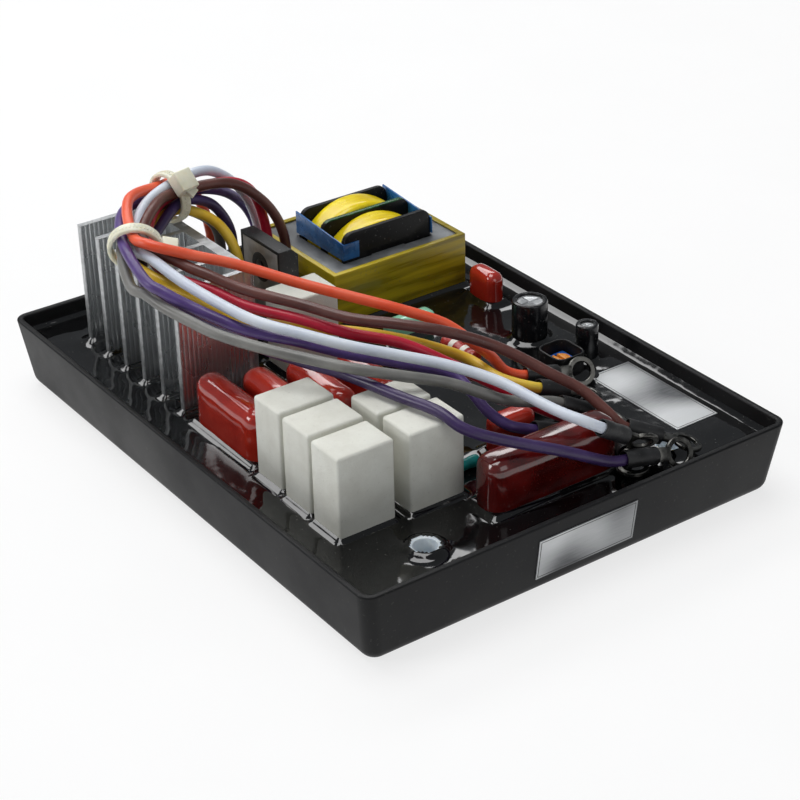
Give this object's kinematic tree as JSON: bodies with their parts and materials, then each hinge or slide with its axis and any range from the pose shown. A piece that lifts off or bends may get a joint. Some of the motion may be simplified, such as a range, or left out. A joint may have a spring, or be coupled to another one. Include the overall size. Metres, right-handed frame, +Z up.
{
  "type": "automatic voltage regulator",
  "caption": "Potted generator voltage regulator in a shallow black tray, with a finned heat sink, transformer, resistors, capacitors, a trimmer and a strapped bundle of ring-lug wires.",
  "frame": {"origin": "middle of the tray's underside", "axes": "+Z up out of the tray, +X along the tray towards the end with the two mounting spacers and the wall label"},
  "size_m": [0.14, 0.105, 0.0552],
  "materials": {
    "tray_plastic": "satin",
    "resin": "glossy",
    "board": "satin",
    "nylon": "satin",
    "extrusion": "satin",
    "moulding": "satin",
    "tinned": "satin",
    "laminations": "matte",
    "mustard_tape": "satin",
    "yellow_tape": "satin",
    "blue_tape": "satin",
    "cement": "matte",
    "red_dip": "glossy",
    "dark_red_dip": "glossy",
    "green_dip": "glossy",
    "teal_coat": "glossy",
    "can": "satin",
    "shrink_sleeve": "satin",
    "blue_moulding": "satin",
    "rotor": "satin",
    "foil": "satin",
    "orange_insulation": "satin",
    "brown_insulation": "satin",
    "red_insulation": "satin",
    "white_insulation": "satin",
    "yellow_insulation": "satin",
    "violet_insulation": "satin",
    "purple_insulation": "satin",
    "grey_insulation": "satin"
  },
  "bodies": {
    "regulator": {"tray": "tray_plastic", "potting": "resin", "circuit_board": "board", "mounting_spacers": "nylon", "heat_sink": "extrusion", "device_bodies": "moulding", "device_tabs": "tinned", "device_leads": "tinned", "device_screw": "tinned", "transformer_core": "laminations", "core_tape": "mustard_tape", "bobbin": "moulding", "winding_rear": "yellow_tape", "winding_front": "yellow_tape", "bobbin_tape": "blue_tape", "cement_resistors": "cement", "film_capacitors": "red_dip", "output_capacitor": "dark_red_dip", "coupling_capacitor": "dark_red_dip", "rear_capacitor": "red_dip", "green_capacitor": "green_dip", "axial_red": "red_dip", "axial_teal": "teal_coat", "large_electrolytic": "can", "large_electrolytic_sleeve": "shrink_sleeve", "small_electrolytic": "can", "small_electrolytic_sleeve": "shrink_sleeve", "trimmer_collar": "moulding", "trimmer_body": "blue_moulding", "wire_orange": "orange_insulation", "wire_brown": "brown_insulation", "wire_red": "red_insulation", "wire_white": "white_insulation", "wire_yellow": "yellow_insulation", "wire_violet": "violet_insulation", "wire_purple": "purple_insulation", "wire_grey": "grey_insulation", "sleeve_orange": "shrink_sleeve", "sleeve_brown": "shrink_sleeve", "sleeve_red": "shrink_sleeve", "sleeve_white": "shrink_sleeve", "sleeve_yellow": "shrink_sleeve", "sleeve_violet": "shrink_sleeve", "sleeve_purple": "shrink_sleeve", "sleeve_grey": "shrink_sleeve", "ring_orange": "tinned", "ring_brown": "tinned", "ring_red": "tinned", "ring_white": "tinned", "ring_yellow": "tinned", "ring_violet": "tinned", "ring_purple": "tinned", "ring_grey": "tinned", "tie_upper": "nylon", "tie_lower": "nylon", "label_top": "foil", "label_front": "foil"},
    "rotor": {"trimmer_rotor": "rotor"}
  },
  "joints": [
    {"name": "trimmer_turn", "type": "hinge", "parent": "regulator", "child": "rotor", "pos_m": [0.02075, 0.033, 0.0158], "axis": [0, 0, 1], "range_deg": [-120, 120]}
  ]
}
